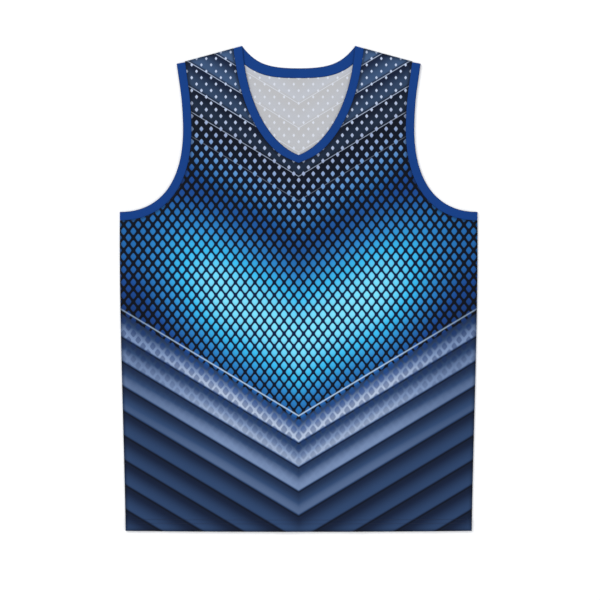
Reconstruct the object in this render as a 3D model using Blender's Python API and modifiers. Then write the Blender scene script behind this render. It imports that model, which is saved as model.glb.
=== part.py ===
"""A basketball jersey lying flat, face up: a sleeveless V-necked top made of two cloth
panels, with a folded rib band round the neck and one round each armhole.

Lengths are in metres. The jersey rests on the plane z = 0 with its neck towards +Y.
Left and right are the wearer's, so the left side is at +X. Every edge is drawn for the
left half; the panels and the neckband are mirrored in the centre line x = 0.
"""

import math
from collections import namedtuple

import bmesh
import bpy
from mathutils import Vector
from mathutils.geometry import delaunay_2d_cdt, interpolate_bezier, intersect_point_line

# The garment as measured flat, from the high shoulder point down
BODY_LENGTH = 0.760
NECK_HALF_WIDTH = 0.0880
FRONT_NECK_DROP = 0.1708
BACK_NECK_DROP = 0.0352
SHOULDER_HALF_WIDTH = 0.1910
SHOULDER_DROP = 0.0280
ACROSS_HALF_WIDTH = 0.1809
ACROSS_DROP = 0.1230
UNDERARM_DROP = 0.2597
UNDERARM_HALF_WIDTH = 0.2797
RIB_HALF_WIDTH = 0.2806
WAIST_HALF_WIDTH = 0.2732
HEM_HALF_WIDTH = 0.2706
HEM_SIDE_RISE = 0.0015

# Bands: width from the free edge to the seam, how far the ends lean from square, and how far
# along the free edge an end's lean or width is felt: from the shoulder, then from the other end
NECKBAND_WIDTH = 0.0133
V_POINT_WIDTH = 0.0125
BACK_NECKBAND_WIDTH = 0.0165
BACK_CENTRE_WIDTH = 0.0151
NECKBAND_SHOULDER_WIDTH = 0.0147
ARMBAND_WIDTH = 0.0133
ARMBAND_END_RISE = 0.0026
BAND_REACHES = (0.030, 0.030)
BACK_NECKBAND_REACHES = (0.016, 0.080)

# Cloth
CLOTH_WALL = 0.0012
BAND_WALL = 0.0018
SEAM_GAP = 0.0003
HEM_DEPTH = 0.020
HEM_STEP = 0.003
HEM_LAYER = 0.0006
FRONT_LOFT = 0.0018
LOFT_REACH = 0.045

# Fineness of the meshes
FRONT_SPACING = 0.030
BACK_SPACING = 0.090
SIDE_SEGMENTS = 16
HEM_SEGMENTS = 9
SHOULDER_SEGMENTS = 3
FOLD_STEPS = 6
SMOOTH_ANGLE = math.radians(40)
MERGE_DISTANCE = 0.00005

TOP = BODY_LENGTH / 2
HEM = -BODY_LENGTH / 2
UNDERARM = TOP - UNDERARM_DROP
SHOULDER_SLOPE = SHOULDER_DROP / (SHOULDER_HALF_WIDTH - NECK_HALF_WIDTH)
SHOULDER_ALONG = Vector((1, -SHOULDER_SLOPE)).normalized()
SHOULDER_OUT = Vector((SHOULDER_SLOPE, 1)).normalized()

# Heights of the middle of each band's two layers, and of the underside of each panel
LOWER_BAND = BAND_WALL / 2
UPPER_BAND = LOWER_BAND + BAND_WALL + SEAM_GAP
FRONT_LEVEL = CLOTH_WALL + SEAM_GAP
FRONT_V_BAND = FRONT_LEVEL + BAND_WALL / 2
FOLD_RADIUS = (UPPER_BAND - LOWER_BAND) / 2
FOLD_REACH = FOLD_RADIUS + BAND_WALL / 2

# A rib band's section: share of its width from the free edge, share of half its wall
Section = namedtuple("Section", "across height")
BAND_SECTION = [
    Section(0.00, 0.40),
    Section(0.07, 1.00),
    Section(0.94, 1.00),
    Section(1.00, 0.55),
    Section(1.00, -0.55),
    Section(0.94, -1.00),
    Section(0.07, -1.00),
    Section(0.00, -0.40),
]

# Free edges: each starts at the shoulder or where the one before ends, and each pull is
# the way from that end to its handle
Edge = namedtuple("Edge", "start start_pull end_pull end segments")
SHOULDER_TIP = Vector((SHOULDER_HALF_WIDTH, TOP - SHOULDER_DROP)) - SHOULDER_OUT * FOLD_REACH
NECK_CORNER = Vector((NECK_HALF_WIDTH, TOP)) - SHOULDER_OUT * FOLD_REACH
ACROSS_POINT = Vector((ACROSS_HALF_WIDTH, TOP - ACROSS_DROP))
UNDERARM_CORNER = Vector((UNDERARM_HALF_WIDTH - FOLD_REACH, UNDERARM))
FRONT_NECK = Edge(
    NECK_CORNER, (-0.0039, -0.0758), (0.0507, 0.0193), Vector((0, TOP - FRONT_NECK_DROP)), 24
)
BACK_NECK = Edge(
    NECK_CORNER, (-0.0207, -0.0254), (0.0494, 0.0), Vector((0, TOP - BACK_NECK_DROP)), 14
)
ARMHOLE_UPPER = Edge(SHOULDER_TIP, (-0.0044, -0.0336), (0.0011, 0.0439), ACROSS_POINT, 9)
ARMHOLE_LOWER = Edge(ACROSS_POINT, (-0.0025, -0.1020), (-0.0506, 0.0), UNDERARM_CORNER, 20)

Band = namedtuple("Band", "free seam panel_edge")
Station = namedtuple("Station", "free seam face level")


def smooth(share):
    """0 below 0, 1 above 1 and a soft step between them."""
    share = min(max(share, 0.0), 1.0)
    return share * share * (3 - 2 * share)


def edge_points(edge):
    start, end = Vector(edge.start), Vector(edge.end)
    handles = start + Vector(edge.start_pull), end + Vector(edge.end_pull)
    return interpolate_bezier(start, *handles, end, edge.segments + 1)


def band_lines(free, width, turn, start_offset, end_offset, reaches):
    """A band's free edge, its seam edge and the panel's edge a seam gap beyond it.

    turn is +1 where the cloth lies to the left of the free edge's course and -1 where it
    lies to the right. The ends follow the offsets given for them.
    """
    run = [0.0]
    for one, two in zip(free, free[1:]):
        run.append(run[-1] + (two - one).length)
    seam, panel_edge = [], []
    for i, point in enumerate(free):
        course = (free[min(i + 1, len(free) - 1)] - free[max(i - 1, 0)]).normalized()
        square = Vector((-course.y, course.x)) * turn * width
        offset = start_offset.lerp(square, smooth(run[i] / reaches[0]))
        offset = end_offset.lerp(offset, smooth((run[-1] - run[i]) / reaches[1]))
        seam.append(point + offset)
        panel_edge.append(point + offset * (1 + SEAM_GAP / width))
    return Band(free, seam, panel_edge)


def neck_band_lines(edge, width, centre_width, reaches):
    shoulder_offset = SHOULDER_ALONG * NECKBAND_SHOULDER_WIDTH
    centre_offset = Vector((0, -centre_width))
    return band_lines(edge_points(edge), width, 1, shoulder_offset, centre_offset, reaches)


def armhole_band_lines():
    shoulder_offset = Vector((-ARMBAND_WIDTH, ARMBAND_END_RISE))
    underarm_offset = Vector((0, -ARMBAND_WIDTH))
    free = edge_points(ARMHOLE_UPPER) + edge_points(ARMHOLE_LOWER)[1:]
    return band_lines(free, ARMBAND_WIDTH, -1, shoulder_offset, underarm_offset, BAND_REACHES)


def layer(band, face, level_at):
    """Stations along one layer of a band; level_at gives the height for a share of the way."""
    last = len(band.free) - 1
    return [
        Station(free, seam, face, level_at(i / last))
        for i, (free, seam) in enumerate(zip(band.free, band.seam))
    ]


def fold(upper, lower, out):
    """Stations round the half turn between two layers, bulging the way out."""
    middle = (upper.level + lower.level) / 2
    radius = (upper.level - lower.level) / 2
    stations = []
    for step in range(1, FOLD_STEPS):
        angle = math.pi * step / FOLD_STEPS
        bulge = out * radius * math.sin(angle)
        face = Vector((0, 0, 1)) * math.cos(angle) + out.to_3d() * math.sin(angle)
        level = middle + radius * math.cos(angle)
        stations.append(Station(upper.free + bulge, upper.seam + bulge, face, level))
    return stations


def section_points(station):
    lift = Vector((0, 0, station.level))
    free, seam = station.free.to_3d() + lift, station.seam.to_3d() + lift
    half = station.face * BAND_WALL / 2
    return [free.lerp(seam, row.across) + half * row.height for row in BAND_SECTION]


def loft(stations, closed):
    """A tube of band sections, whose two ends are joined where it is closed."""
    bm = bmesh.new()
    rings = [[bm.verts.new(p) for p in section_points(s)] for s in stations]
    pairs = list(zip(rings, rings[1:]))
    if closed:
        pairs.append((rings[-1], rings[0]))
    for one, two in pairs:
        for i in range(len(one)):
            bm.faces.new((one[i - 1], one[i], two[i], two[i - 1]))
    bmesh.ops.recalc_face_normals(bm, faces=bm.faces)
    return bm


def side_half_width(y):
    """The side line: nearly straight to the ribs, then slowly in towards the hem."""
    armband_seam = UNDERARM - ARMBAND_WIDTH
    t = (armband_seam - y) / (armband_seam - HEM)
    knots = (UNDERARM_HALF_WIDTH, RIB_HALF_WIDTH, WAIST_HALF_WIDTH, HEM_HALF_WIDTH)
    return sum(math.comb(3, i) * t**i * (1 - t) ** (3 - i) * k for i, k in enumerate(knots))


def hem_height(x):
    return HEM + HEM_SIDE_RISE * (x / HEM_HALF_WIDTH) ** 2


def hem_row(height_above):
    """A row of points across the half panel, a given way above the hem."""
    half_width = side_half_width(HEM + HEM_SIDE_RISE + height_above)
    row = []
    for i in range(HEM_SEGMENTS + 1):
        x = half_width * i / HEM_SEGMENTS
        row.append(Vector((x, hem_height(x) + height_above)))
    return row


def panel_outline(neck, armhole):
    """The sewn and hemmed edge of a half panel, from the hem's centre round to the neck's."""
    armhole_edge, neck_edge = armhole.panel_edge[::-1], neck.panel_edge
    underarm_corner = Vector((side_half_width(armhole_edge[0].y), armhole_edge[0].y))
    hem_end = HEM + HEM_SIDE_RISE + HEM_DEPTH + HEM_STEP
    side = []
    for i in range(1, SIDE_SEGMENTS):
        y = hem_end + (underarm_corner.y - hem_end) * i / SIDE_SEGMENTS
        side.append(Vector((side_half_width(y), y)))
    shoulder_ends = []
    for inner_point in (armhole_edge[-1], neck_edge[0]):
        foot = intersect_point_line(
            inner_point,
            Vector((NECK_HALF_WIDTH, TOP)),
            Vector((SHOULDER_HALF_WIDTH, TOP - SHOULDER_DROP)),
        )[0]
        shoulder_ends.append(foot.to_2d())
    shoulder = [
        shoulder_ends[0].lerp(shoulder_ends[1], i / SHOULDER_SEGMENTS)
        for i in range(SHOULDER_SEGMENTS + 1)
    ]
    hem_corner = [hem_row(HEM_DEPTH)[-1], hem_row(HEM_DEPTH + HEM_STEP)[-1]]
    return (
        hem_row(0) + hem_corner + side + [underarm_corner] + armhole_edge + shoulder + neck_edge
    )


def distance_to(outline, point):
    """How far a point lies from the nearest edge of an open outline."""
    nearest = math.inf
    for one, two in zip(outline, outline[1:]):
        foot, share = intersect_point_line(point, one, two)
        foot = one if share < 0 else two if share > 1 else foot.to_2d()
        nearest = min(nearest, (foot - point).length)
    return nearest


def inside(outline, point):
    """Whether a point is inside the outline closed along the centre line."""
    crossed = False
    for one, two in zip(outline, outline[1:] + outline[:1]):
        if (one.y > point.y) != (two.y > point.y):
            share = (point.y - one.y) / (two.y - one.y)
            crossed ^= point.x < one.x + (two.x - one.x) * share
    return crossed


def centre_line(outline, spacing):
    """Points down the centre line, from the neck's end of the outline to its hem."""
    hem_rows = [hem_row(HEM_DEPTH + HEM_STEP)[0], hem_row(HEM_DEPTH)[0]]
    count = math.ceil((outline[-1].y - hem_rows[0].y) / spacing)
    return [outline[-1].lerp(hem_rows[0], i / count) for i in range(1, count)] + hem_rows


def lattice(outline, spacing):
    """Points inside the outline and off the centre line, in staggered rows."""
    rise = spacing * math.sqrt(3) / 2
    first = HEM + HEM_DEPTH + HEM_STEP + rise
    top = max(point.y for point in outline)
    points = []
    for row in range(int((top - first) / rise) + 1):
        for column in range(int(RIB_HALF_WIDTH / spacing) + 1):
            point = Vector((spacing * (column + 0.5 + 0.5 * (row % 2)), first + row * rise))
            if inside(outline, point) and distance_to(outline, point) > spacing / 2:
                points.append(point)
    return points


def panel_sheet(outline, spacing):
    """The half panel as a flat sheet of triangles, open along the centre line."""
    points = outline + centre_line(outline, spacing)
    ring = [list(range(len(points)))]
    edges = []
    for height in (HEM_DEPTH, HEM_DEPTH + HEM_STEP):
        row = hem_row(height)
        first = len(points)
        points += row
        edges += [(first + i, first + i + 1) for i in range(len(row) - 1)]
    points += lattice(outline, spacing)
    only_inside = 1
    corners, _, faces, *_ = delaunay_2d_cdt(
        points, edges, ring, only_inside, MERGE_DISTANCE
    )
    bm = bmesh.new()
    verts = [bm.verts.new(corner.to_3d()) for corner in corners]
    for face in faces:
        bm.faces.new([verts[i] for i in face])
    bmesh.ops.recalc_face_normals(bm, faces=bm.faces)
    return bm


def turned_up_hem(point):
    """1 on the turned-up hem, falling to 0 over the step at its upper edge."""
    above = point.y - hem_height(point.x)
    return 1 - min(max((above - HEM_DEPTH) / HEM_STEP, 0.0), 1.0)


def material(name, colour, roughness):
    made = bpy.data.materials.new(name)
    made.use_nodes = True
    shader = made.node_tree.nodes["Principled BSDF"]
    shader.inputs["Base Color"].default_value = (*colour, 1.0)
    shader.inputs["Roughness"].default_value = roughness
    shader.inputs["Metallic"].default_value = 0.0
    shader.inputs["Sheen Weight"].default_value = 0.2
    made.diffuse_color = (*colour, 1.0)
    return made


def add_object(name, bm, materials, collection, parent):
    mesh = bpy.data.meshes.new(name)
    bm.to_mesh(mesh)
    bm.free()
    for one in materials:
        mesh.materials.append(one)
    mesh.shade_smooth()
    mesh.set_sharp_from_angle(angle=SMOOTH_ANGLE)
    made = bpy.data.objects.new(name, mesh)
    made.parent = parent
    collection.objects.link(made)
    return made


def mirror(target):
    half = target.modifiers.new("other_half", "MIRROR")
    half.use_axis = (True, False, False)
    half.use_clip = True
    half.merge_threshold = MERGE_DISTANCE


def add_panel(name, outline, spacing, level, loft_height, hem_lift, materials, place):
    """A cloth panel: a sheet mirrored whole, then thickened upwards.

    The wall is deeper by loft_height away from the edges, and by one more layer at the hem.
    hem_lift raises the underside over the hem of a panel beneath.
    """
    deepest = CLOTH_WALL + max(loft_height, HEM_LAYER)
    bm = panel_sheet(outline, spacing)
    depths = []
    for vert in bm.verts:
        spot = vert.co.to_2d()
        hem = turned_up_hem(spot)
        loft_share = smooth(distance_to(outline, spot) / LOFT_REACH)
        depth = CLOTH_WALL + loft_height * loft_share * (1 - hem) + HEM_LAYER * hem
        depths.append(depth / deepest)
        vert.co.z = hem_lift * hem
    panel = add_object(name, bm, materials, *place)
    panel.location.z = level
    group = panel.vertex_groups.new(name="depth")
    for index, share in enumerate(depths):
        group.add([index], share, "REPLACE")
    mirror(panel)
    wall = panel.modifiers.new("wall", "SOLIDIFY")
    wall.thickness = deepest
    wall.offset = 1
    wall.vertex_group = group.name
    wall.material_offset = 1
    wall.material_offset_rim = 0
    return panel


def add_neckband(front, back, rib, place):
    """One ring: the front's V over the back's shallow curve, folded at each shoulder."""
    up, down = Vector((0, 0, 1)), Vector((0, 0, -1))
    upper = layer(front, up, lambda share: UPPER_BAND + (FRONT_V_BAND - UPPER_BAND) * smooth(share))
    lower = layer(back, down, lambda share: LOWER_BAND)
    stations = upper[::-1] + fold(upper[0], lower[0], SHOULDER_OUT) + lower
    band = add_object("neckband", loft(stations, closed=False), [rib], *place)
    mirror(band)


def add_armband(name, armhole, side, rib, place):
    """One flattened ring round an armhole, folded at the shoulder and at the underarm."""
    up, down = Vector((0, 0, 1)), Vector((0, 0, -1))
    upper = layer(armhole, up, lambda share: UPPER_BAND)
    lower = layer(armhole, down, lambda share: LOWER_BAND)
    shoulder = fold(upper[0], lower[0], SHOULDER_OUT)
    underarm = fold(upper[-1], lower[-1], Vector((1, 0)))
    bm = loft(upper[::-1] + shoulder + lower + underarm[::-1], closed=True)
    if side < 0:
        bmesh.ops.scale(bm, vec=(-1, 1, 1), verts=bm.verts)
        bmesh.ops.reverse_faces(bm, faces=bm.faces)
    add_object(name, bm, [rib], *place)


def main():
    for old in list(bpy.data.objects):
        bpy.data.objects.remove(old, do_unlink=True)
    collection = bpy.data.collections.new("basketball_jersey")
    bpy.context.scene.collection.children.link(collection)
    whole = bpy.data.objects.new("basketball_jersey", None)
    collection.objects.link(whole)
    place = (collection, whole)

    printed = material("printed_cloth", (0.020, 0.085, 0.260), 0.55)
    inside_face = material("cloth_inside", (0.520, 0.530, 0.570), 0.70)
    rib = material("blue_rib", (0.010, 0.055, 0.260), 0.65)

    front_neck = neck_band_lines(FRONT_NECK, NECKBAND_WIDTH, V_POINT_WIDTH, BAND_REACHES)
    back_neck = neck_band_lines(
        BACK_NECK, BACK_NECKBAND_WIDTH, BACK_CENTRE_WIDTH, BACK_NECKBAND_REACHES
    )
    armhole = armhole_band_lines()

    add_panel(
        "back_panel",
        panel_outline(back_neck, armhole),
        BACK_SPACING,
        level=0.0,
        loft_height=0.0,
        hem_lift=0.0,
        materials=[printed, inside_face],
        place=place,
    )
    add_panel(
        "front_panel",
        panel_outline(front_neck, armhole),
        FRONT_SPACING,
        level=FRONT_LEVEL,
        loft_height=FRONT_LOFT,
        hem_lift=HEM_LAYER,
        materials=[inside_face, printed],
        place=place,
    )
    add_neckband(front_neck, back_neck, rib, place)
    add_armband("armband_left", armhole, 1, rib, place)
    add_armband("armband_right", armhole, -1, rib, place)


main()
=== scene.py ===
import math
from collections import namedtuple

import bpy
import numpy as np
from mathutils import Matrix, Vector
from mathutils.geometry import delaunay_2d_cdt


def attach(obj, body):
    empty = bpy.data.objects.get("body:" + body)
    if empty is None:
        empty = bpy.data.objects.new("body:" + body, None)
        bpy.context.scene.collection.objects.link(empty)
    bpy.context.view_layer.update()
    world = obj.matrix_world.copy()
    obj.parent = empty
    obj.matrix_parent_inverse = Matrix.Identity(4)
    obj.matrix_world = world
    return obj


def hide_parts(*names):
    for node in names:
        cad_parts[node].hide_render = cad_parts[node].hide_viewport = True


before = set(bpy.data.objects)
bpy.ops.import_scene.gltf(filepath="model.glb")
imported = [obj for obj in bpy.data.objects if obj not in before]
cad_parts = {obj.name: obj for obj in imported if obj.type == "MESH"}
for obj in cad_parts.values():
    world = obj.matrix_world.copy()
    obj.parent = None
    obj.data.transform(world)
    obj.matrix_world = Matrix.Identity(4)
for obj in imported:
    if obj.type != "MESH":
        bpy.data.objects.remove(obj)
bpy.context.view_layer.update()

# The draft, in metres. One half is drafted, at +X, which is the wearer's left
BODY_LENGTH = 0.760
NECK_HALF_WIDTH = 0.0880
FRONT_NECK_DROP = 0.1708
BACK_NECK_DROP = 0.0352
SHOULDER_HALF_WIDTH = 0.1910
SHOULDER_DROP = 0.0280
ACROSS_HALF_WIDTH = 0.1809
ACROSS_DROP = 0.1230
UNDERARM_DROP = 0.2597
UNDERARM_HALF_WIDTH = 0.2797
RIB_HALF_WIDTH = 0.2806
WAIST_HALF_WIDTH = 0.2732
HEM_HALF_WIDTH = 0.2706
HEM_SIDE_RISE = 0.0015
HEM_DEPTH = 0.020

NECKBAND_WIDTH = 0.0133
V_POINT_WIDTH = 0.0125
BACK_NECKBAND_WIDTH = 0.0165
BACK_CENTRE_WIDTH = 0.0151
NECKBAND_SHOULDER_WIDTH = 0.0147
ARMBAND_WIDTH = 0.0133
ARMBAND_END_RISE = 0.0026
# How far along a free edge an end's lean or width is felt, from the shoulder and from the
# other end
BAND_REACHES = (0.030, 0.030)
BACK_NECKBAND_REACHES = (0.016, 0.080)
BAND_WALL = 0.0018
SEAM_GAP = 0.00005

TOP = BODY_LENGTH / 2
HEM = -BODY_LENGTH / 2
UNDERARM = TOP - UNDERARM_DROP
SHOULDER_SLOPE = SHOULDER_DROP / (SHOULDER_HALF_WIDTH - NECK_HALF_WIDTH)
SHOULDER_ALONG = np.array([1, -SHOULDER_SLOPE]) / math.hypot(1, SHOULDER_SLOPE)
SHOULDER_OUT = np.array([SHOULDER_SLOPE, 1]) / math.hypot(1, SHOULDER_SLOPE)

# Heights of the middle of each layer of a band
LOWER_BAND = 0.0009
UPPER_BAND = 0.0030
V_BAND = 0.0024
FOLD_RADIUS = (UPPER_BAND - LOWER_BAND) / 2
FOLD_REACH = FOLD_RADIUS + BAND_WALL / 2

Edge = namedtuple("Edge", "start start_pull end_pull end")
SHOULDER_TIP = np.array([SHOULDER_HALF_WIDTH, TOP - SHOULDER_DROP]) - SHOULDER_OUT * FOLD_REACH
NECK_CORNER = np.array([NECK_HALF_WIDTH, TOP]) - SHOULDER_OUT * FOLD_REACH
ACROSS_POINT = (ACROSS_HALF_WIDTH, TOP - ACROSS_DROP)
UNDERARM_CORNER = (UNDERARM_HALF_WIDTH - FOLD_REACH, UNDERARM)
FRONT_NECK = Edge(NECK_CORNER, (-0.0039, -0.0758), (0.0507, 0.0193), (0, TOP - FRONT_NECK_DROP))
BACK_NECK = Edge(NECK_CORNER, (-0.0207, -0.0254), (0.0494, 0.0), (0, TOP - BACK_NECK_DROP))
ARMHOLE_UPPER = Edge(SHOULDER_TIP, (-0.0044, -0.0336), (0.0011, 0.0439), ACROSS_POINT)
ARMHOLE_LOWER = Edge(ACROSS_POINT, (-0.0025, -0.1020), (-0.0506, 0.0), UNDERARM_CORNER)

# Thickness of the cloth, single and on the turned-up hem
CLOTH = 0.00085
HEM_CLOTH = 0.0016

# Heights of the middle of a panel's cloth: over the body, along the sides and shoulders,
# along the bands' seams, how much lower at the point of the V, on the hem, and at the hem's
# ends; then the height of its rolling waves and of the hem's puckers
Level = namedtuple("Level", "body side seam v_drop hem hem_side roll pucker")
FRONT_LEVEL = Level(
    body=0.0040,
    side=0.00181,
    seam=0.0031,
    v_drop=0.0006,
    hem=0.0031,
    hem_side=0.00286,
    roll=0.0003,
    pucker=0.0001,
)
BACK_LEVEL = Level(
    body=0.00055,
    side=0.00092,
    seam=0.00092,
    v_drop=0.0,
    hem=0.00120,
    hem_side=0.00120,
    roll=0.0,
    pucker=0.0,
)

# How far in from each edge its height is felt, and how steeply the cloth comes to it
SIDE_REACH = 0.018
SIDE_STEEPNESS = 2.4
SEAM_REACH = 0.010
SEAM_STEEPNESS = 2
HEM_REACH = 0.060
CREASE_REACH = 0.045
# Where the neck seam sinks towards the point of the V: how near the centre line, and from
# what height over what depth
V_HALF_WIDTH = 0.100
V_TOP = 0.300
V_DEPTH = 0.100
# Half the width of the soft step at a hem's upper edge, in thickness and along the sides
HEM_STEP = 0.0008
SIDE_STEP = 0.0030

# Soft ridges, and troughs where the height is below 0. The angle is from +X in degrees,
# length and width are how far a crease reaches from its middle, and bend is its curve
Crease = namedtuple("Crease", "x y angle length width height bend")
FRONT_CREASES = [
    Crease(0.182, 0.070, 152, 0.085, 0.013, 0.0021, 0.6),
    Crease(0.205, 0.020, 128, 0.090, 0.016, -0.0014, -0.4),
    Crease(-0.176, 0.060, 31, 0.080, 0.014, 0.0019, -0.7),
    Crease(-0.214, 0.000, 58, 0.100, 0.018, -0.0013, 0.5),
    Crease(0.128, 0.262, 102, 0.060, 0.012, 0.0013, 0.8),
    Crease(-0.131, 0.268, 76, 0.056, 0.013, 0.0014, -0.6),
    Crease(0.046, 0.108, 62, 0.070, 0.015, 0.0013, 0.5),
    Crease(-0.058, 0.086, 119, 0.082, 0.018, 0.0011, -0.5),
    Crease(0.148, -0.120, 97, 0.165, 0.021, 0.0018, 0.15),
    Crease(-0.166, -0.150, 84, 0.150, 0.019, 0.0016, -0.20),
    Crease(0.024, -0.170, 101, 0.190, 0.030, -0.0014, 0.10),
    Crease(-0.082, -0.235, 79, 0.125, 0.020, 0.0016, 0.25),
    Crease(0.082, -0.290, 93, 0.095, 0.017, 0.0014, -0.30),
    Crease(0.214, -0.275, 88, 0.105, 0.016, 0.0013, 0.20),
    Crease(-0.222, -0.300, 94, 0.085, 0.015, -0.0011, 0.25),
    Crease(-0.020, -0.330, 90, 0.060, 0.018, 0.0013, 0.00),
]
BACK_CREASES = [
    Crease(0.034, 0.262, 74, 0.085, 0.016, 0.00045, 0.5),
    Crease(-0.046, 0.248, 108, 0.075, 0.014, 0.00040, -0.6),
    Crease(0.172, 0.060, 148, 0.090, 0.015, 0.00050, 0.6),
    Crease(-0.168, 0.075, 36, 0.080, 0.016, 0.00045, -0.5),
    Crease(0.120, -0.140, 95, 0.150, 0.020, 0.00050, 0.15),
    Crease(-0.140, -0.180, 86, 0.130, 0.018, 0.00045, -0.20),
    Crease(0.010, -0.250, 98, 0.110, 0.022, 0.00040, 0.10),
]

# Fineness of the meshes
LATTICE = 0.0056
OUTLINE_STEP = 0.0040
BAND_STEP = 0.0024
FOLD_STEPS = 12
RIM_ANGLES = (45, 0, -45)
RIM_RINGS = (0.0014, 0.0032)
CURVE_POINTS = 240
HEM_POINTS = 60
SIDE_POINTS = 140
# How near the lattice comes to the inner ring and to the hem's upper edge
RIM_CLEARANCE = 0.0022
HEM_CLEARANCE = 0.0032
MERGE_DISTANCE = 1e-6

# A band's section, from the fold at its free edge to the seam: share of its width, share
# of half its wall
Section = namedtuple("Section", "across height")
BAND_SECTION = [
    Section(0.000, 0.00),
    Section(0.009, 0.50),
    Section(0.034, 0.87),
    Section(0.075, 1.00),
    Section(0.200, 0.99),
    Section(0.450, 0.93),
    Section(0.700, 0.95),
    Section(0.880, 0.93),
    Section(0.955, 0.76),
    Section(0.990, 0.45),
    Section(1.000, 0.00),
]


# ---------------------------------------------------------------------- lines and plans


def smooth(share):
    share = np.clip(share, 0.0, 1.0)
    return share * share * (3 - 2 * share)


def run_of(points):
    return np.concatenate([[0.0], np.cumsum(np.linalg.norm(np.diff(points, axis=0), axis=1))])


def closed(ring):
    """The ring with its first point once more at its end."""
    return np.vstack([ring, ring[:1]])


def spaced(points, step):
    """The same line with its points at even steps of about the given length."""
    run = run_of(points)
    places = np.linspace(0, run[-1], max(2, math.ceil(run[-1] / step) + 1))
    return np.column_stack([np.interp(places, run, column) for column in points.T])


def curve(edge):
    start, end = np.array(edge.start), np.array(edge.end)
    one, two = start + edge.start_pull, end + edge.end_pull
    t = np.linspace(0, 1, CURVE_POINTS)[:, None]
    outer = (1 - t) ** 3 * start + t**3 * end
    return outer + 3 * t * (1 - t) ** 2 * one + 3 * t**2 * (1 - t) * two


Band = namedtuple("Band", "free seam panel_edge")


def band_lines(free, width, turn, start_offset, end_offset, reaches):
    """A band's free edge, its seam edge and the panel's edge a seam gap beyond it."""
    run = run_of(free)
    course = np.gradient(free, axis=0)
    course /= np.linalg.norm(course, axis=1)[:, None]
    square = np.column_stack([-course[:, 1], course[:, 0]]) * turn * width
    near_start = smooth(run / reaches[0])[:, None]
    near_end = smooth((run[-1] - run) / reaches[1])[:, None]
    offset = start_offset + (square - start_offset) * near_start
    offset = end_offset + (offset - end_offset) * near_end
    return Band(free, free + offset, free + offset * (1 + SEAM_GAP / width))


def neck_lines(edge, width, centre_width, reaches):
    offsets = SHOULDER_ALONG * NECKBAND_SHOULDER_WIDTH, np.array([0, -centre_width])
    return band_lines(spaced(curve(edge), BAND_STEP), width, 1, *offsets, reaches)


def armhole_lines():
    free = np.concatenate([curve(ARMHOLE_UPPER), curve(ARMHOLE_LOWER)[1:]])
    offsets = np.array([-ARMBAND_WIDTH, ARMBAND_END_RISE]), np.array([0, -ARMBAND_WIDTH])
    return band_lines(spaced(free, BAND_STEP), ARMBAND_WIDTH, -1, *offsets, BAND_REACHES)


def side_half_width(y):
    armband_seam = UNDERARM - ARMBAND_WIDTH
    t = (armband_seam - y) / (armband_seam - HEM)
    knots = (UNDERARM_HALF_WIDTH, RIB_HALF_WIDTH, WAIST_HALF_WIDTH, HEM_HALF_WIDTH)
    return sum(math.comb(3, i) * t**i * (1 - t) ** (3 - i) * k for i, k in enumerate(knots))


def hem_height(x):
    return HEM + HEM_SIDE_RISE * (x / HEM_HALF_WIDTH) ** 2


def above_hem(xs, rise):
    """A line that runs along the hem's edge, the given rise above it."""
    return np.column_stack([xs, hem_height(xs) + rise])


def shoulder_foot(point):
    """The nearest point on the line of the shoulder."""
    start = np.array([NECK_HALF_WIDTH, TOP])
    return start + SHOULDER_ALONG * ((point - start) @ SHOULDER_ALONG)


def half_edges(neck, armhole):
    """The edges of a half panel in their order, each a line of points."""
    hem_end = HEM + HEM_SIDE_RISE
    across = np.linspace(0, side_half_width(hem_end), HEM_POINTS)
    up = np.linspace(hem_end, armhole.panel_edge[-1][1], SIDE_POINTS)
    armhole_edge = np.vstack([[side_half_width(up[-1]), up[-1]], armhole.panel_edge[::-1]])
    shoulder = np.array([shoulder_foot(armhole_edge[-1]), shoulder_foot(neck.panel_edge[0])])
    return {
        "hem": above_hem(across, 0),
        "side": np.column_stack([side_half_width(up), up]),
        "armhole": np.vstack([armhole_edge, shoulder[:1]]),
        "shoulder": shoulder,
        "neck": np.vstack([shoulder[1:], neck.panel_edge]),
    }


def whole_outline(edges):
    """Both halves' edges as one ring, anticlockwise."""
    half = np.concatenate([spaced(line, OUTLINE_STEP)[:-1] for line in edges.values()])
    half = np.vstack([half, edges["neck"][-1]])
    half[0, 0] = half[-1, 0] = 0.0
    return np.vstack([half, half[-2:0:-1] * (-1, 1)])


def distance(points, line):
    nearest = np.full(len(points), np.inf)
    for one, two in zip(line, line[1:]):
        along = two - one
        share = np.clip((points - one) @ along / max(along @ along, 1e-12), 0, 1)
        foot = one + share[:, None] * along
        nearest = np.minimum(nearest, np.linalg.norm(points - foot, axis=1))
    return nearest


def inside(ring, points):
    crossed = np.zeros(len(points), bool)
    for one, two in zip(ring, np.roll(ring, -1, 0)):
        spans = (one[1] > points[:, 1]) != (two[1] > points[:, 1])
        if one[1] != two[1]:
            share = (points[:, 1] - one[1]) / (two[1] - one[1])
            crossed ^= spans & (points[:, 0] < one[0] + (two[0] - one[0]) * share)
    return crossed


def inset(ring, depth):
    """A closed anticlockwise ring moved inwards, with mitred corners."""

    def left(step):
        step = step / np.linalg.norm(step, axis=1)[:, None]
        return np.column_stack([-step[:, 1], step[:, 0]])

    one, two = left(ring - np.roll(ring, 1, 0)), left(np.roll(ring, -1, 0) - ring)
    mitre = (one + two) / (1 + (one * two).sum(1))[:, None]
    return ring + mitre * np.reshape(depth, (-1, 1))


def area_of(ring):
    x, y = ring.T
    return abs(x @ np.roll(y, -1) - y @ np.roll(x, -1)) / 2


# ----------------------------------------------------------------------- the cloth form


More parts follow.
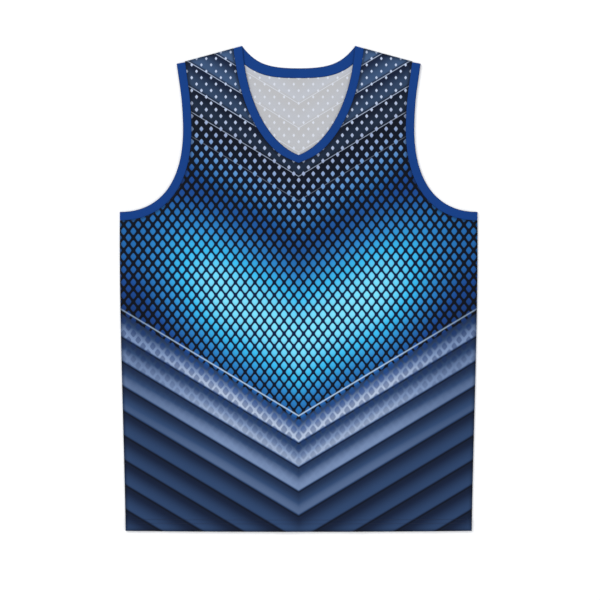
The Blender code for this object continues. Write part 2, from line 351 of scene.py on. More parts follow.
def crease_height(points, creases):
    lift = np.zeros(len(points))
    for crease in creases:
        turn = math.radians(crease.angle)
        x, y = points[:, 0] - crease.x, points[:, 1] - crease.y
        along = x * math.cos(turn) + y * math.sin(turn)
        across = y * math.cos(turn) - x * math.sin(turn) - crease.bend * along**2
        shape = -((across / crease.width) ** 2) - (along / crease.length) ** 4
        lift += crease.height * np.exp(shape)
    return lift


def hem_share(points):
    """1 on the turned-up hem, with a soft step at its upper edge."""
    above = points[:, 1] - hem_height(points[:, 0])
    return 1 - smooth((above - HEM_DEPTH + HEM_STEP) / (2 * HEM_STEP))


def half_thickness(points):
    return (CLOTH + (HEM_CLOTH - CLOTH) * hem_share(points)) / 2


def rolling(x, y):
    """Low waves, 0.2 to 0.4 m long, within 1.7 of 0."""
    return np.sin(21 * x + 1.3) * np.sin(17 * y + 0.4) + 0.7 * np.sin(31 * y - 9 * x)


def puckers(x):
    """Small waves along a hem, about 15 mm long and not quite even, within 1 of 0."""
    return np.sin(420 * x + 2 * np.sin(37 * x))


def middle_height(points, edges, level, creases):
    """The height of the middle of a panel's cloth."""
    x, y = points.T
    folded = np.column_stack([np.abs(x), y])
    away = {name: distance(folded, line) for name, line in edges.items()}
    seam_away = np.minimum(away["neck"], away["armhole"])
    side_away = np.minimum(away["side"], away["shoulder"])
    near_hem = np.maximum(hem_share(points), 1 - smooth(away["hem"] / HEM_REACH))
    height = level.body + (level.hem - level.body) * near_hem
    loose = smooth(np.minimum(seam_away, side_away) / CREASE_REACH)
    height = height + (crease_height(points, creases) + level.roll * rolling(x, y)) * loose
    height = height + level.pucker * puckers(x) * hem_share(points)
    at_v = (np.abs(x) < V_HALF_WIDTH) * smooth((V_TOP - y) / V_DEPTH)
    seam_pull = np.clip(1 - seam_away / SEAM_REACH, 0, 1) ** SEAM_STEEPNESS
    height = height + (level.seam - level.v_drop * at_v - height) * seam_pull
    at_hem = 1 - smooth((away["hem"] - HEM_DEPTH + SIDE_STEP) / (2 * SIDE_STEP))
    side = level.side + (level.hem_side - level.side) * at_hem
    side_pull = np.clip(1 - side_away / SIDE_REACH, 0, 1) ** SIDE_STEEPNESS
    return height + (side - height) * side_pull


# ------------------------------------------------------------------------------- meshes


def add_piece(name, points, faces, materials, material_of, maps):
    mesh = bpy.data.meshes.new(name)
    mesh.from_pydata([tuple(p) for p in points], [], faces)
    for one in materials:
        mesh.materials.append(one)
    mesh.polygons.foreach_set("material_index", np.array(material_of, dtype=np.int32))
    for map_name, places in maps.items():
        layer = mesh.uv_layers.new(name=map_name)
        layer.uv.foreach_set("vector", np.asarray(places, dtype=np.float32).ravel())
    mesh.shade_smooth()
    mesh.update()
    made = bpy.data.objects.new(name, mesh)
    bpy.context.scene.collection.objects.link(made)
    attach(made, "root")
    return made


# Where a face of a panel lies in its texture map: a box of the plan and a box of the map
Window = namedtuple("Window", "low high u v")
OUTER_WINDOW = Window((-0.2835, -0.3830), (0.2835, 0.3830), (0.004, 0.726), (0.004, 0.996))
INNER_WINDOW = Window((-0.2835, -0.3830), (0.2835, 0.3830), (0.735, 0.996), (0.004, 0.720))
NECK_WINDOW = Window((-0.1070, 0.1500), (0.1070, 0.3600), (0.735, 0.996), (0.735, 0.996))
WINDOW_MARGIN = 0.002


def holds(window, spot):
    """Whether a spot of the plan is well inside a window."""
    return all(
        low + WINDOW_MARGIN < part < high - WINDOW_MARGIN
        for low, part, high in zip(window.low, spot, window.high)
    )


def in_window(window, plan):
    """The places in the texture map of spots of the plan."""
    low, high = np.array(window.low), np.array(window.high)
    share = (plan - low) / (high - low)
    u, v = window.u, window.v
    return np.column_stack([u[0] + share[:, 0] * (u[1] - u[0]), v[0] + share[:, 1] * (v[1] - v[0])])


def lattice_spots(inner):
    """Points inside the inner ring: an even lattice, and rows at the hem's upper edge."""
    rise = LATTICE * math.sqrt(3) / 2
    rows = []
    for row in range(int(BODY_LENGTH / rise) + 1):
        xs = np.arange(-RIB_HALF_WIDTH, RIB_HALF_WIDTH, LATTICE) + LATTICE / 2 * (row % 2)
        rows.append(np.column_stack([xs, np.full(len(xs), HEM + row * rise)]))
    spots = np.concatenate(rows)
    above = spots[:, 1] - hem_height(spots[:, 0])
    spots = spots[np.abs(above - HEM_DEPTH) > HEM_CLEARANCE]
    steps = [HEM_DEPTH - HEM_STEP, HEM_DEPTH, HEM_DEPTH + HEM_STEP]
    xs = np.arange(-HEM_HALF_WIDTH, HEM_HALF_WIDTH, LATTICE)
    spots = np.vstack([spots, *[above_hem(xs, step) for step in steps]])
    spots = spots[inside(inner, spots)]
    return spots[distance(spots, closed(inner)) > RIM_CLEARANCE]


def panel_plan(outline):
    """A panel's plan, which is two rings along its edge and the points within, and its faces."""
    count = len(outline)
    rings = [inset(outline, half_thickness(outline)), inset(outline, RIM_RINGS[0])]
    inner = inset(outline, RIM_RINGS[1])
    given = [Vector(p) for p in np.vstack([inner, lattice_spots(inner)])]
    only_inside = 1
    found, _, triangles, origins, *_ = delaunay_2d_cdt(
        given, [], [list(range(count))], only_inside, MERGE_DISTANCE
    )
    new_index = {}
    for index, sources in enumerate(origins):
        for source in sources:
            new_index[source] = 2 * count + index
    third = [new_index[i] for i in range(count)]
    plan = np.vstack([*rings, np.array([tuple(p) for p in found])])
    faces = []
    for one, two in ((range(count), range(count, 2 * count)), (range(count, 2 * count), third)):
        for i in range(count):
            j = (i + 1) % count
            faces.append((one[i], one[j], two[j], two[i]))
    for triangle in triangles:
        a, b, c = (2 * count + i for i in triangle)
        side = np.cross(np.append(plan[b] - plan[a], 0), np.append(plan[c] - plan[a], 0))[2]
        faces.append((a, b, c) if side > 0 else (a, c, b))
    return plan, faces


def add_rim(outline, half, size, outer_is_up):
    """The faces round a panel's edge, from its upper side to its lower, and their plan."""
    count, strips = len(outline), len(RIM_ANGLES) + 1
    first_points = [0, *(2 * size + k * count for k in range(strips - 1)), size]
    rings = [range(first, first + count) for first in first_points]
    turns = np.arange(strips + 1) * math.pi / strips
    if not outer_is_up:
        turns = turns[::-1]
    unrolled = [inset(outline, half - half * turn) for turn in turns]
    faces, plan = [], []
    for k in range(strips):
        upper, lower = rings[k], rings[k + 1]
        for i in range(count):
            j = (i + 1) % count
            faces.append((lower[i], lower[j], upper[j], upper[i]))
            plan += [unrolled[k + 1][i], unrolled[k + 1][j], unrolled[k][j], unrolled[k][i]]
    return faces, np.array(plan)


def flat_map(plan, faces, window, inner_window=None):
    """Places in the texture map: in the inner window where it holds a face, else the window."""
    places = []
    for face in faces:
        corners = plan[[i % len(plan) for i in face]]
        is_inner = inner_window and holds(inner_window, corners.mean(0))
        places.append(in_window(inner_window if is_inner else window, corners))
    return np.vstack(places)


def add_panel(name, outline, height_of, outer_is_up, outer, inner):
    """A thin closed shell with rounded edges."""
    plan, up_faces = panel_plan(outline)
    half, middle = half_thickness(plan), height_of(plan)
    count, size = len(outline), len(plan)
    layers = [np.column_stack([plan, middle + half]), np.column_stack([plan, middle - half])]
    rim_half, rim_middle = half[:count], middle[:count]
    for angle in RIM_ANGLES:
        turn = math.radians(angle)
        flat = inset(outline, rim_half * (1 - math.cos(turn)))
        layers.append(np.column_stack([flat, rim_middle + rim_half * math.sin(turn)]))

    down_faces = [tuple(size + i for i in reversed(face)) for face in up_faces]
    outer_faces, inner_faces = (up_faces, down_faces) if outer_is_up else (down_faces, up_faces)
    rim_faces, rim_plan = add_rim(outline, rim_half, size, outer_is_up)
    faces = outer_faces + rim_faces + inner_faces
    places = np.vstack(
        [
            flat_map(plan, outer_faces, OUTER_WINDOW),
            in_window(OUTER_WINDOW, rim_plan),
            flat_map(plan, inner_faces, INNER_WINDOW, NECK_WINDOW),
        ]
    )

    from_edge = distance(plan, closed(outline))
    outer_from, inner_from = (
        from_edge[[i % size for face in side for i in face]] for side in (outer_faces, inner_faces)
    )
    edges = np.concatenate([outer_from, np.zeros(len(rim_plan)), inner_from])
    maps = {"OFBake": places, "edge": np.column_stack([edges, np.zeros(len(edges))])}
    material_of = [0] * (len(outer_faces) + len(rim_faces)) + [1] * len(inner_faces)
    return add_piece(name, np.vstack(layers), faces, [outer, inner], material_of, maps)


# A place along a band: its free edge, its seam, the way its face looks and its height
Station = namedtuple("Station", "free seam face level")


def band_layer(band, face, levels):
    return [
        Station(free, seam, np.array(face), level)
        for free, seam, level in zip(band.free, band.seam, levels)
    ]


def band_fold(upper, lower, out):
    """Stations round the half turn between two layers, bulging the way out."""
    middle, radius = (upper.level + lower.level) / 2, (upper.level - lower.level) / 2
    stations = []
    for step in range(1, FOLD_STEPS):
        turn = math.pi * step / FOLD_STEPS
        bulge = np.array(out) * radius * math.sin(turn)
        face = np.array([*np.array(out) * math.sin(turn), math.cos(turn)])
        level = middle + radius * math.cos(turn)
        stations.append(Station(upper.free + bulge, upper.seam + bulge, face, level))
    return stations


def mirrored(station):
    flip = np.array([-1, 1])
    face = station.face * (-1, 1, 1)
    return station._replace(free=station.free * flip, seam=station.seam * flip, face=face)


# A band's texture map: how many strips the neckband's and an armband's are cut into, and the
# bare edges of the map and of each strip
NECK_STRIPS = 4
ARM_STRIPS = 3
MAP_EDGE = 0.006
STRIP_EDGE = 0.03


def turned_over(values):
    """The corners' values of four-sided faces whose corners now run the other way."""
    return [value for n in range(0, len(values), 4) for value in values[n : n + 4][::-1]]


def band_rings(stations):
    """A band's section at each station, as a closed ring of points."""
    section = BAND_SECTION + [Section(s.across, -s.height) for s in BAND_SECTION[-2:0:-1]]
    across = np.array([s.across for s in section])[:, None]
    height = np.array([s.height for s in section])[:, None]
    rings = []
    for station in stations:
        flat = station.free + across * (station.seam - station.free)
        ring = np.column_stack([flat, np.full(len(section), station.level)])
        rings.append(ring + height * station.face * BAND_WALL / 2)
    return rings


def add_band(name, stations, strips, rib):
    """A closed ring of band sections. Its texture map is cut into strips of equal length."""
    rings = band_rings(stations)
    count, sides = len(rings), len(rings[0])
    run = run_of(closed(np.array([ring.mean(0) for ring in rings])))
    around = run_of(closed(rings[0]))
    per_strip = math.ceil(count / strips)
    faces, places, threads = [], [], []
    for i in range(count):
        j = (i + 1) % count
        strip = i // per_strip
        start = run[strip * per_strip]
        end = run[min((strip + 1) * per_strip, count)]
        for k in range(sides):
            m = (k + 1) % sides
            faces.append((i * sides + k, j * sides + k, j * sides + m, i * sides + m))
            for column, row in ((i, k), (i + 1, k), (i + 1, k + 1), (i, k + 1)):
                strip_share = (run[column] - start) / (end - start)
                round_share = around[row] / around[-1]
                u = MAP_EDGE + (1 - 2 * MAP_EDGE) * strip_share
                v = (strip + STRIP_EDGE + (1 - 2 * STRIP_EDGE) * round_share) / strips
                places.append((u, v))
                threads.append((run[column], round_share))
    points = np.vstack(rings)
    a, b, c = (points[[face[i] for face in faces]] for i in range(3))
    if (np.cross(b - a, c - a) * (a - points.mean(0))).sum() < 0:
        faces = [face[::-1] for face in faces]
        places, threads = turned_over(places), turned_over(threads)
    maps = {"OFBake": places, "thread": threads}
    return add_piece(name, points, faces, [rib], [0] * len(faces), maps), run[-1]


# A stitch: share of its length from its middle, share of its thickness, share of its lift
Bead = namedtuple("Bead", "along thick lift")
STITCH = [
    Bead(-0.50, 0.40, -0.40),
    Bead(-0.40, 0.85, 0.30),
    Bead(-0.15, 1.00, 0.70),
    Bead(0.15, 1.00, 0.70),
    Bead(0.40, 0.85, 0.30),
    Bead(0.50, 0.40, -0.40),
]
STITCH_SIDES = 6
STITCH_LENGTH = 0.0026
STITCH_PITCH = 0.0031
STEPS_A_STITCH = 4
THREAD = 0.00038
# In a stitch's cell of the texture map: the bare edge and the size of an end's round face
CELL_EDGE = 0.14
END_SIZE = (0.035, 0.30)


def stitch_shape():
    """The points of one stitch that runs along +X, on cloth that faces +Z."""
    turns = np.arange(STITCH_SIDES) * 2 * math.pi / STITCH_SIDES
    return np.array(
        [
            (
                bead.along * STITCH_LENGTH,
                bead.thick * THREAD / 2 * math.cos(turn),
                bead.thick * THREAD / 2 * math.sin(turn) + bead.lift * THREAD / 2,
            )
            for bead in STITCH
            for turn in turns
        ]
    )


def laid_stitches(rows):
    """The points of each stitch. A row is a line of points and the way its cloth faces."""
    shape, half = stitch_shape(), STEPS_A_STITCH // 2
    stitches = []
    for line, facing in rows:
        line = spaced(line, STITCH_PITCH / STEPS_A_STITCH)
        for i in range(half, len(line) - half, STEPS_A_STITCH):
            along = line[i + half] - line[i - half]
            along /= np.linalg.norm(along)
            across = np.cross([0, 0, facing], along)
            across /= np.linalg.norm(across)
            basis = np.array([along, across, np.cross(along, across)])
            stitches.append(line[i] + shape @ basis)
    return stitches


def stitch_map():
    """The places of one stitch's corners in its cell: its sides, then its two ends."""
    beads, sides = len(STITCH), STITCH_SIDES
    places = []
    for bead in range(beads - 1):
        for side in range(sides):
            for u, v in ((bead, side), (bead, side + 1), (bead + 1, side + 1), (bead + 1, side)):
                share = np.array([u / (beads - 1), v / sides])
                places.append(CELL_EDGE + (1 - 2 * CELL_EDGE) * share)
    for end, step in ((CELL_EDGE / 2, -1), (1 - CELL_EDGE / 2, 1)):
        for side in range(sides)[::step]:
            turn = 2 * math.pi * side / sides
            places.append(np.array([end, 0.5]) + END_SIZE * np.array([math.cos(turn), math.sin(turn)]))
    return np.array(places)


def add_stitches(name, rows, thread):
    """Rows of stitches on cloth. Each stitch has its own cell in the texture map."""
    stitches = laid_stitches(rows)
    beads, sides = len(STITCH), STITCH_SIDES
    grid = math.ceil(math.sqrt(len(stitches)))
    in_cell = stitch_map()
    faces, places = [], []
    for n in range(len(stitches)):
        first = n * beads * sides
        places.append((np.array([n % grid, n // grid]) + in_cell) / grid)
        for bead in range(beads - 1):
            for side in range(sides):
                a, b = first + bead * sides + side, first + bead * sides + (side + 1) % sides
                faces.append((a, b, b + sides, a + sides))
        for bead, step in ((0, -1), (beads - 1, 1)):
            faces.append(tuple(first + bead * sides + side for side in range(sides))[::step])
    maps = {"OFBake": np.vstack(places)}
    return add_piece(name, np.vstack(stitches), faces, [thread], [0] * len(faces), maps)


# ---------------------------------------------------------------------------- materials


def linear(code):
    """A colour code such as 1b438c as linear red, green, blue and alpha."""
    parts = [int(code[i : i + 2], 16) / 255 for i in (0, 2, 4)]
    return (*[p / 12.92 if p <= 0.04045 else ((p + 0.055) / 1.055) ** 2.4 for p in parts], 1.0)


class Field:
    """A number that varies over a surface, worked out by nodes."""

    def __init__(self, tree, socket):
        self.tree, self.socket = tree, socket

    def math(self, operation, *others):
        node = self.tree.nodes.new("ShaderNodeMath")
        node.operation = operation
        for place, value in zip(node.inputs, (self, *others)):
            plug(self.tree, value, place)
        return Field(self.tree, node.outputs[0])

    def __add__(self, other):
        return self.math("ADD", other)

    def __sub__(self, other):
        return self.math("SUBTRACT", other)

    def __mul__(self, other):
        return self.math("MULTIPLY", other)

    def __abs__(self):
        return self.math("ABSOLUTE")

    def step(self, low, high):
        """A soft step: 0 at low and 1 at high, whichever is the greater."""
        node = self.tree.nodes.new("ShaderNodeMapRange")
        node.interpolation_type = "SMOOTHSTEP"
        falls = not isinstance(low, Field) and low > high
        ends = (high, low, 1.0, 0.0) if falls else (low, high, 0.0, 1.0)
        for place, value in zip(node.inputs, (self, *ends)):
            plug(self.tree, value, place)
        return Field(self.tree, node.outputs[0])

    def between(self, at_0, at_1):
        """A number that goes from at_0 to at_1 while this one goes from 0 to 1."""
        return self * (at_1 - at_0) + at_0

    def squared(self):
        return self.math("POWER", 2.0)

    def bell(self, middle, width):
        """1 at the middle, falling away softly on both sides."""
        return (((self - middle) * (1 / width)).squared() * -1.0).math("EXPONENT")

    def wave(self, pitch):
        """A sine wave between -1 and 1."""
        return (self * (2 * math.pi / pitch)).math("SINE")

    def ramp(self, stops):
        """A colour for each value, between stops of (value, colour code)."""
        node = self.tree.nodes.new("ShaderNodeValToRGB")
        elements = node.color_ramp.elements
        while len(elements) < len(stops):
            elements.new(0.5)
        for element, (place, code) in zip(elements, stops):
            element.position = place
            element.color = linear(code)
        self.tree.links.new(self.socket, node.inputs[0])
        return node.outputs[0]


def plug(tree, value, place):
    if isinstance(value, Field):
        tree.links.new(value.socket, place)
    elif isinstance(value, bpy.types.NodeSocket):
        tree.links.new(value, place)
    else:
        place.default_value = value


def mixed(tree, share, one, two):
    """A colour between two others."""
    node = tree.nodes.new("ShaderNodeMix")
    node.data_type = "RGBA"
    for place, value in zip((node.inputs[0], node.inputs[6], node.inputs[7]), (share, one, two)):
        plug(tree, value, place)
    return node.outputs[2]


def scaled(tree, colour, factor):
    node = tree.nodes.new("ShaderNodeVectorMath")
    node.operation = "SCALE"
    plug(tree, colour[:3] if isinstance(colour, tuple) else colour, node.inputs[0])
    plug(tree, factor, node.inputs["Scale"])
    return node.outputs[0]


def new_material(name, roughness, specular, sheen):
    made = bpy.data.materials.new(name)
    made.use_nodes = True
    tree = made.node_tree
    shader = tree.nodes["Principled BSDF"]
    shader.inputs["Roughness"].default_value = roughness
    shader.inputs["Specular IOR Level"].default_value = specular
    shader.inputs["Sheen Weight"].default_value = sheen
    shader.inputs["Sheen Roughness"].default_value = 0.45
    return made, tree, shader


def position(tree):
    """The place on the garment, in metres."""
    coordinates = tree.nodes.new("ShaderNodeTexCoord")
    split = tree.nodes.new("ShaderNodeSeparateXYZ")
    tree.links.new(coordinates.outputs["Object"], split.inputs[0])
    return coordinates.outputs["Object"], [Field(tree, split.outputs[i]) for i in (0, 1, 2)]


def noise(tree, where, scale, detail):
    node = tree.nodes.new("ShaderNodeTexNoise")
    node.inputs["Scale"].default_value = scale
    node.inputs["Detail"].default_value = detail
    tree.links.new(where, node.inputs["Vector"])
    return Field(tree, node.outputs[0])


def read_map(tree, name):
    node = tree.nodes.new("ShaderNodeUVMap")
    node.uv_map = name
    split = tree.nodes.new("ShaderNodeSeparateXYZ")
    tree.links.new(node.outputs[0], split.inputs[0])
    return Field(tree, split.outputs[0]), Field(tree, split.outputs[1])


def bump(tree, shader, height, distance_m, strength):
    node = tree.nodes.new("ShaderNodeBump")
    node.inputs["Strength"].default_value = strength
    node.inputs["Distance"].default_value = distance_m
    plug(tree, height, node.inputs["Height"])
    tree.links.new(node.outputs[0], shader.inputs["Normal"])


# The print, in metres. It is laid out in chevrons, and a point's tier is the height at which
# its chevron crosses the centre line
CHEVRON_SLOPE = 0.60
DIAMOND_WIDTH = 0.0152
DIAMOND_HEIGHT = 0.0200
FOLD_PITCH = 0.038
FOLDS_TOP = -0.205
TWILL_PITCH = 0.0026

# A soft step is where it starts and where it is complete. On the flanks it goes by the way
# from the centre line
FLANK = (0.11, 0.27)
STEEL_FLANK = (0.10, 0.27)
PIN_FLANK = (0.10, 0.28)

# These go by tier
LARGE_DIAMONDS = (0.27, 0.0)
PALE_DIAMONDS = (0.08, 0.24)
SLATE_FOLDS = (0.14, 0.30)
PALE_LINES = (0.10, 0.22)
SHINE = (-0.41, -0.215)
FAINT_DIAMONDS = (-0.33, -0.205)
FOLDS_BEGIN = (FOLDS_TOP + 0.0015, FOLDS_TOP - 0.0015)

# And these by the way up a fold, which is 1 long
FOLD_LIT = (0.0, 0.15)
FOLD_DARK = (0.16, 1.0)
FOLD_LINE = (0.055, 0.015)

# Soft bands of light: the tier of the middle and how far it reaches
Light = namedtuple("Light", "tier reach")
GLOW = Light(-0.080, 0.106)
ECHO = Light(0.130, 0.050)
PIN_LINE = Light(-0.1985, 0.0012)

# Shares and strengths. Pairs are for the centre line and the flanks
ECHO_SHARE = 0.42
GLOW_SHARE = (1.0, 0.30)
STEEL_SHARE = (1.0, 0.55)
PIN_SHARE = (0.85, 0.43)
PALE_SHARE = 0.9
SLATE_SHARE = 0.85
LINE_SHARE = 0.75
FAINT_SHARE = 0.60
DARK_SHARE = 0.26
LEAST_SHINE = 0.31
TWILL_SHADE = 0.05

# Diamonds, in shares of half their cell: the smallest, what the largest have more on the
# centre line and on the flanks, and their soft edge. Then their shade in the middle and at
# its lowest, where it is lowest, and how much it leans to one side
SMALLEST_DIAMOND = 0.27
DIAMOND_GROWTH = (0.48, 0.40)
DIAMOND_EDGE = 0.09
DIAMOND_SHADE = (1.0, 0.72)
DIAMOND_SHADE_REACH = 1.25
DIAMOND_LEAN = 0.08

# Colours along a scale from 0 to 1
LIT = ((0.0, "10204a"), (0.2, "16468c"), (0.45, "2a82c4"), (0.72, "38b8ea"), (1.0, "7cdef8"))
GROUND = ((0.0, "05060c"), (0.35, "060d1c"), (1.0, "081c40"))
SLATE = ((0.0, "060810"), (0.3, "182642"), (1.0, "446088"))
STEEL = ((0.0, "05070d"), (0.12, "13203a"), (0.35, "2e466c"), (0.7, "7a90b6"), (1.0, "b6c4da"))
PALE_DIAMOND = "c6d4ee"
PALE_LINE = "b8c8e4"
BRIGHT_LINE = "bad4f0"


def diamonds(x, y, tier, flank):
    """1 inside the diamonds, and the shade of a diamond, from its middle to its edge."""
    across, up = x * (1 / DIAMOND_WIDTH), y * (1 / DIAMOND_HEIGHT)
    one = (across + up).math("FRACT").between(-1.0, 1.0)
    two = (across - up).math("FRACT").between(-1.0, 1.0)
    reach = (one.squared().squared() + two.squared().squared()).math("POWER", 0.25)
    growth = tier.step(*LARGE_DIAMONDS) * flank.between(*DIAMOND_GROWTH)
    diamond = (reach - (growth + SMALLEST_DIAMOND)).step(DIAMOND_EDGE, -DIAMOND_EDGE)
    outwards = (reach * (1 / DIAMOND_SHADE_REACH)).math("MINIMUM", 1.0).squared()
    return diamond, outwards.between(*DIAMOND_SHADE) + (one - two) * DIAMOND_LEAN


def upper_ground(tree, tier, glow, fold_run, fold):
    """Between the diamonds: the dark of the glow, then slate folds and pale lines higher up."""
    slate_share = tier.step(*SLATE_FOLDS) * SLATE_SHARE
    ground = mixed(tree, slate_share, glow.ramp(GROUND), fold.ramp(SLATE))
    line = fold_run.step(*FOLD_LINE) * tier.step(*PALE_LINES) * LINE_SHARE
    return mixed(tree, line, ground, linear(PALE_LINE))


def steel_folds(tree, tier, away, fold):
    """The folds below the glow, bright at their top and dark towards the hem and the flanks."""
    shine = tier.step(*SHINE) * away.step(*STEEL_FLANK).between(*STEEL_SHARE)
    steel = (fold * shine.between(LEAST_SHINE, 1.0)).ramp(STEEL)
    return scaled(tree, steel, tier.wave(TWILL_PITCH) * TWILL_SHADE + 1.0)


def print_colour(tree, x, y):
    """The print: diamonds that swell into a glowing V, over printed chevron folds."""
    away = abs(x)
    flank = away.step(*FLANK)
    tier = y - away * CHEVRON_SLOPE
    glow = (tier.bell(*GLOW) + tier.bell(*ECHO) * ECHO_SHARE) * flank.between(*GLOW_SHARE)
    fold_run = ((tier - FOLDS_TOP) * (1 / FOLD_PITCH)).math("FRACT")
    fold = fold_run.step(*FOLD_LIT) * fold_run.step(*FOLD_DARK).between(1.0, DARK_SHARE)

    diamond, shade = diamonds(x, y, tier, flank)
    pale_share = tier.step(*PALE_DIAMONDS) * PALE_SHARE
    lit = scaled(tree, mixed(tree, pale_share, glow.ramp(LIT), linear(PALE_DIAMOND)), shade)
    upper = mixed(tree, diamond, upper_ground(tree, tier, glow, fold_run, fold), lit)

    below = tier.step(*FOLDS_BEGIN)
    whole = mixed(tree, below, upper, steel_folds(tree, tier, away, fold))
    faint = diamond * below * tier.step(*FAINT_DIAMONDS) * FAINT_SHARE
    whole = mixed(tree, faint, whole, lit)
    pin = tier.bell(*PIN_LINE) * away.step(*PIN_FLANK).between(*PIN_SHARE)
    return mixed(tree, pin, whole, linear(BRIGHT_LINE))


MESH_PITCH = 0.0024
MESH_RELIEF = 0.00012
EYELET = (0.95, 0.30)
# How far in from a seam or edge the painted shade on the printed cloth reaches
EDGE_SHADE_REACH = 0.0065
PRINT_THROUGH = 0.36


def knit(x, y):
    """Small staggered eyelets: 0 in a hole and 1 on the yarn round it."""
    across = (x * (2 * math.pi / MESH_PITCH)).math("COSINE")
    up = (y * (2 * math.pi / MESH_PITCH)).math("COSINE")
    return (across * up).step(*EYELET)


def printed_material():
    """The printed outside, with painted shade in the eyelets and along the seams and edges."""
    made, tree, shader = new_material("printed_jersey", roughness=0.60, specular=0.08, sheen=0.02)
    where, (x, y, _) = position(tree)
    yarn = knit(x, y)
    edge_away, _ = read_map(tree, "edge")
    # Painted shade: the cloth grows darker over the last few millimetres towards its seams and edges
    painted_edge_shade = edge_away.step(0.0, EDGE_SHADE_REACH).between(0.52, 1.0)
    uneven = noise(tree, where, scale=9.0, detail=2.0).between(0.95, 1.05)
    # The eyelets are darker than the yarn round them: painted shade in the holes
    colour = scaled(tree, print_colour(tree, x, y), painted_edge_shade * uneven * yarn.between(0.78, 1.02))
    plug(tree, colour, shader.inputs["Base Color"])
    bump(tree, shader, yarn, MESH_RELIEF, strength=0.45)
    return made


def inside_material():
    """The white inside of the cloth, dulled where the print shows through it."""
    made, tree, shader = new_material("jersey_inside", roughness=0.75, specular=0.10, sheen=0.04)
    where, (x, y, _) = position(tree)
    yarn = knit(x, y)
    colour = mixed(tree, PRINT_THROUGH, linear("dededf"), print_colour(tree, x, y))
    uneven = noise(tree, where, scale=11.0, detail=2.0).between(0.97, 1.03)
    # The eyelets are darker than the yarn round them: painted shade in the holes
    colour = scaled(tree, colour, uneven * yarn.between(0.82, 1.02))
    plug(tree, colour, shader.inputs["Base Color"])
    bump(tree, shader, yarn, MESH_RELIEF, strength=0.45)
    return made


RIB_PITCH = 0.0016
RIB_RELIEF = 0.00016
LOOPS_ROUND = 32
# Painted shade at the fold and at the seam, by the share of the way from the seam to the fold
FOLD_SHADE = (1.0, 0.84)
SEAM_SHADE = (0.0, 0.06)


def rib_material():
    """Fine rib, with painted shade on the fold at the free edge and along the seam."""
    made, tree, shader = new_material("blue_rib_knit", roughness=0.66, specular=0.10, sheen=0.03)
    where, _ = position(tree)
    along, round_share = read_map(tree, "thread")
    wale = along.wave(RIB_PITCH).between(0.5, 1.0)
    loop = round_share.wave(1 / LOOPS_ROUND).between(0.5, 1.0)
    uneven = noise(tree, where, scale=26.0, detail=3.0).between(0.92, 1.08)
    from_seam = abs(round_share.between(-1.0, 1.0))
    # Painted shade: darker on the fold at the free edge and along the seam
    painted_edge_shade = from_seam.step(*FOLD_SHADE).between(0.5, 1.0)
    painted_edge_shade = painted_edge_shade * from_seam.step(*SEAM_SHADE).between(0.7, 1.0)
    # Darker between the wales and between the loops: painted shade that follows the rib's relief
    colour = mixed(tree, wale * 0.7 + loop * 0.3, linear("0b3577"), linear("0d3f87"))
    plug(tree, scaled(tree, colour, uneven * painted_edge_shade), shader.inputs["Base Color"])
    bump(tree, shader, wale * 0.8 + loop * 0.2, RIB_RELIEF, strength=0.5)
    return made


THREAD_RELIEF = 0.00004


def thread_material():
    made, tree, shader = new_material("navy_thread", roughness=0.50, specular=0.35, sheen=0.0)
    where, _ = position(tree)
    uneven = noise(tree, where, scale=900.0, detail=2.0).between(0.75, 1.25)
    plug(tree, scaled(tree, linear("101a38"), uneven), shader.inputs["Base Color"])
    fibres = noise(tree, where, scale=2600.0, detail=1.0)
    bump(tree, shader, fibres, THREAD_RELIEF, strength=0.4)
    return made


# ------------------------------------------------------------------------------- pieces
printed, pale = printed_material(), inside_material()
rib, thread = rib_material(), thread_material()

front_neck = neck_lines(FRONT_NECK, NECKBAND_WIDTH, V_POINT_WIDTH, BAND_REACHES)
back_neck = neck_lines(
    BACK_NECK, BACK_NECKBAND_WIDTH, BACK_CENTRE_WIDTH, BACK_NECKBAND_REACHES
)
armhole = armhole_lines()
front_edges, back_edges = half_edges(front_neck, armhole), half_edges(back_neck, armhole)
front_outline, back_outline = whole_outline(front_edges), whole_outline(back_edges)


def front_height(points):
    return middle_height(points, front_edges, FRONT_LEVEL, FRONT_CREASES)


def back_height(points):
    return middle_height(points, back_edges, BACK_LEVEL, BACK_CREASES)


front = add_panel("front_cloth", front_outline, front_height, True, printed, pale)
back = add_panel("back_cloth", back_outline, back_height, False, printed, pale)

UP, DOWN = (0, 0, 1), (0, 0, -1)
to_v = smooth(np.linspace(0, 1, len(front_neck.free)))
upper = band_layer(front_neck, UP, UPPER_BAND + (V_BAND - UPPER_BAND) * to_v)
lower = band_layer(back_neck, DOWN, np.full(len(back_neck.free), LOWER_BAND))
half_ring = upper[::-1] + band_fold(upper[0], lower[0], SHOULDER_OUT) + lower
other_half = [mirrored(station) for station in half_ring[-2:0:-1]]
neck_rib, neck_length = add_band("neck_rib", half_ring + other_half, NECK_STRIPS, rib)

upper = band_layer(armhole, UP, np.full(len(armhole.free), UPPER_BAND))
lower = band_layer(armhole, DOWN, np.full(len(armhole.free), LOWER_BAND))
ring = upper[::-1] + band_fold(upper[0], lower[0], SHOULDER_OUT)
ring += lower + band_fold(upper[-1], lower[-1], (1, 0))[::-1]
arm_rib_left, arm_length = add_band("arm_rib_left", ring, ARM_STRIPS, rib)
arm_rib_right, _ = add_band("arm_rib_right", [mirrored(s) for s in ring], ARM_STRIPS, rib)


def on_cloth(line, height_of, facing):
    """A line of the plan laid on the outside of a panel."""
    line = spaced(line, STITCH_PITCH / STEPS_A_STITCH)
    heights = height_of(line) + facing * half_thickness(line)
    return np.column_stack([line, heights])


# Rows of stitches: how far above the hem's edge, how short of the sides they stop, and how far
# from a band's seam
HEM_ROWS = (0.0125, 0.0185)
HEM_ROW_ENDS = 0.0015
HEM_ROW_POINTS = 400
SEAM_STITCH = 0.0017


def hem_line(above):
    half_width = side_half_width(HEM + above) - HEM_ROW_ENDS
    return above_hem(np.linspace(-half_width, half_width, HEM_ROW_POINTS), above)


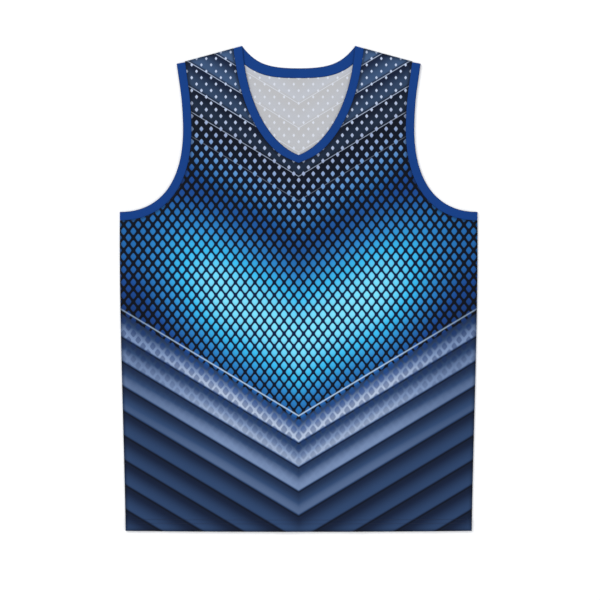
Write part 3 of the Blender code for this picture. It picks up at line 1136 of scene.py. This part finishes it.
def seam_lines(neck, armhole_band):
    """Lines on the panel beside the neck's and the armholes' seams."""
    lines = []
    for band, width in ((neck, NECKBAND_WIDTH), (armhole_band, ARMBAND_WIDTH)):
        offset = (band.seam - band.free) / width
        lines.append(band.panel_edge + offset * SEAM_STITCH)
    half_neck, arm = lines[0][2:], lines[1][2:-2]
    whole_neck = np.vstack([half_neck, half_neck[-2::-1] * (-1, 1)])
    return [whole_neck, arm, arm * (-1, 1)]


front_rows = [hem_line(above) for above in HEM_ROWS]
front_rows += seam_lines(front_neck, armhole)
front_stitches = add_stitches(
    "front_stitches", [(on_cloth(line, front_height, 1), 1) for line in front_rows], thread
)
back_rows = [hem_line(above) for above in HEM_ROWS]
back_rows += seam_lines(back_neck, armhole)
back_stitches = add_stitches(
    "back_stitches", [(on_cloth(line, back_height, -1), -1) for line in back_rows], thread
)

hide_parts("front_panel")
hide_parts("back_panel")
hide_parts("neckband")
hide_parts("armband_left")
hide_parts("armband_right")

hem_allowance = 2 * HEM_HALF_WIDTH * HEM_DEPTH
area_of(front_outline) + hem_allowance
area_of(back_outline) + hem_allowance

# -------------------------------------------------------------- floor, light and camera
FLOOR_REACH = 8.0
FLOOR_GAP = 0.0002
floor_mesh = bpy.data.meshes.new("floor")
corners = [(x * FLOOR_REACH, y * FLOOR_REACH, 0) for x, y in ((-1, -1), (1, -1), (1, 1), (-1, 1))]
floor_mesh.from_pydata(corners, [], [(0, 1, 2, 3)])
floor = bpy.data.objects.new("floor", floor_mesh)
floor.location.z = -FLOOR_GAP
bpy.context.scene.collection.objects.link(floor)
floor_finish, _, floor_shader = new_material("pale_floor", roughness=0.9, specular=0.1, sheen=0.0)
floor_shader.inputs["Base Color"].default_value = (0.93, 0.93, 0.935, 1)
floor_shader.inputs["Emission Color"].default_value = (1, 1, 1, 1)
floor_shader.inputs["Emission Strength"].default_value = 0.10
floor_mesh.materials.append(floor_finish)

world = bpy.data.worlds.new("studio")
world.use_nodes = True
sky = world.node_tree.nodes["Background"]
sky.inputs["Color"].default_value = (0.97, 0.98, 1.0, 1)
sky.inputs["Strength"].default_value = 0.72
bpy.context.scene.world = world

Lamp = namedtuple("Lamp", "name place size power")
for lamp in (
    Lamp("key", (-3.0, 2.6, 3.8), 3.0, 138),
    Lamp("fill", (3.2, -1.8, 3.4), 3.0, 38),
):
    light = bpy.data.lights.new(lamp.name, "AREA")
    light.size = lamp.size
    light.energy = lamp.power
    holder = bpy.data.objects.new(lamp.name, light)
    holder.location = lamp.place
    holder.rotation_euler = (-Vector(lamp.place)).to_track_quat("-Z", "Y").to_euler()
    bpy.context.scene.collection.objects.link(holder)

# What the camera sees of the floor, from straight above
VIEW_WIDTH = 0.9385
VIEW_CENTRE = (0.0021, -0.0175)
CAMERA_HEIGHT = 6.0
lens = bpy.data.cameras.new("camera")
lens.lens = lens.sensor_width * CAMERA_HEIGHT / VIEW_WIDTH
lens.clip_end = 50
camera = bpy.data.objects.new("camera", lens)
camera.location = (*VIEW_CENTRE, CAMERA_HEIGHT)
bpy.context.scene.collection.objects.link(camera)
bpy.context.scene.camera = camera
bpy.context.scene.view_settings.view_transform = "Standard"
